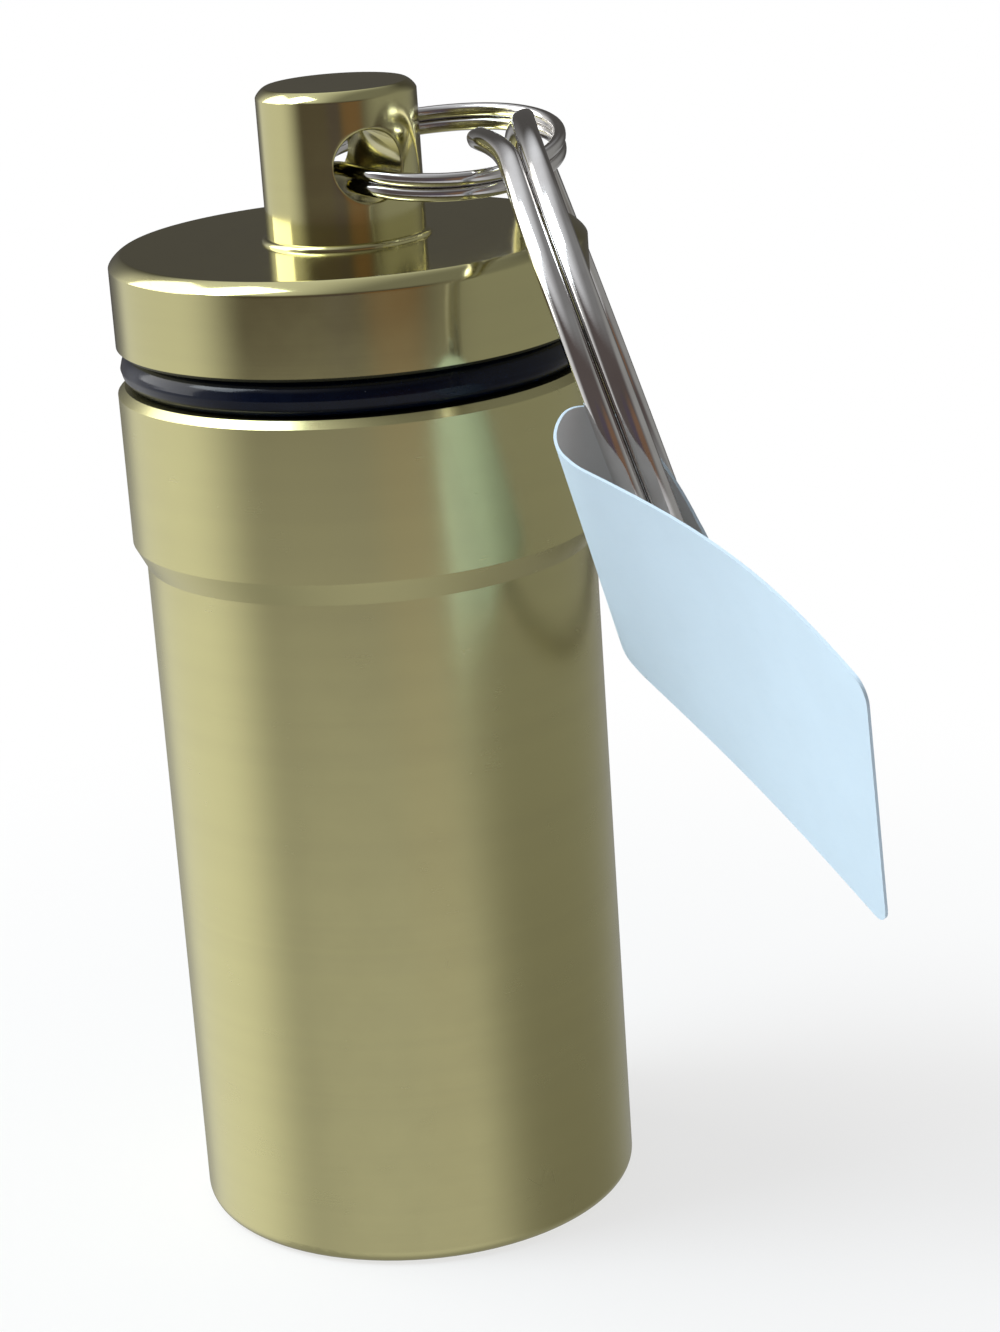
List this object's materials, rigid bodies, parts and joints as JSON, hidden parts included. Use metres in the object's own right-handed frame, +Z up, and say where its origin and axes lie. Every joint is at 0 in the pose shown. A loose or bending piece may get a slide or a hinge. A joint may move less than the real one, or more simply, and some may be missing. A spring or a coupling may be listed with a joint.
{
  "type": "pill fob keychain",
  "caption": "Pocket pill fob: turned aluminium vial with an O-ring sealed screw cap, cross-drilled post, small link ring, split key ring and a folded bare paper tag.",
  "frame": {"origin": "middle of the vial's flat base, on the vial's axis", "axes": "+Z up along the vial; Y along the eye drilled through the cap's post; +X towards the side on which the link ring and key ring hang; the picture was taken from azimuth -21 degrees, a little left of -Y"},
  "size_m": [0.0252, 0.0446, 0.0485],
  "materials": {
    "gold_anodised": "satin",
    "black_rubber": "gloss",
    "plated_steel": "polished",
    "white_paper": "matte"
  },
  "bodies": {
    "vial": {"vial": "gold_anodised"},
    "seal": {"o_ring": "black_rubber"},
    "cap": {"cap": "gold_anodised"},
    "link": {"link_ring": "plated_steel"},
    "key": {"key_ring": "plated_steel"},
    "tag": {"hang_tag": "white_paper"}
  },
  "joints": [
    {"name": "cap_lift", "type": "slide", "parent": "vial", "child": "seal", "axis": [0, 0, 1], "range_m": [0, 0.006]},
    {"name": "cap_turn", "type": "hinge", "parent": "seal", "child": "cap", "pos_m": [0, 0, 0.0368], "axis": [0, 0, 1], "range_deg": [0, 1440]},
    {"name": "link_swing", "type": "hinge", "parent": "cap", "child": "link", "pos_m": [0, 0, 0.0455], "axis": [0, -1, 0], "range_deg": [0, 100]},
    {"name": "key_swing", "type": "hinge", "parent": "link", "child": "key", "pos_m": [0.00593, -0.00503, 0.04533], "axis": [-0.3843, -0.9232, 0], "range_deg": [0, 20]},
    {"name": "tag_swing", "type": "hinge", "parent": "key", "child": "tag", "pos_m": [0.00546, -0.01709, 0.03184], "axis": [0.3861, 0.1973, -0.9011], "range_deg": [-10, 40]}
  ],
  "couplings": [
    {"joint": "cap_lift", "follows": "cap_turn", "m_per_rad": 0.00023873}
  ]
}
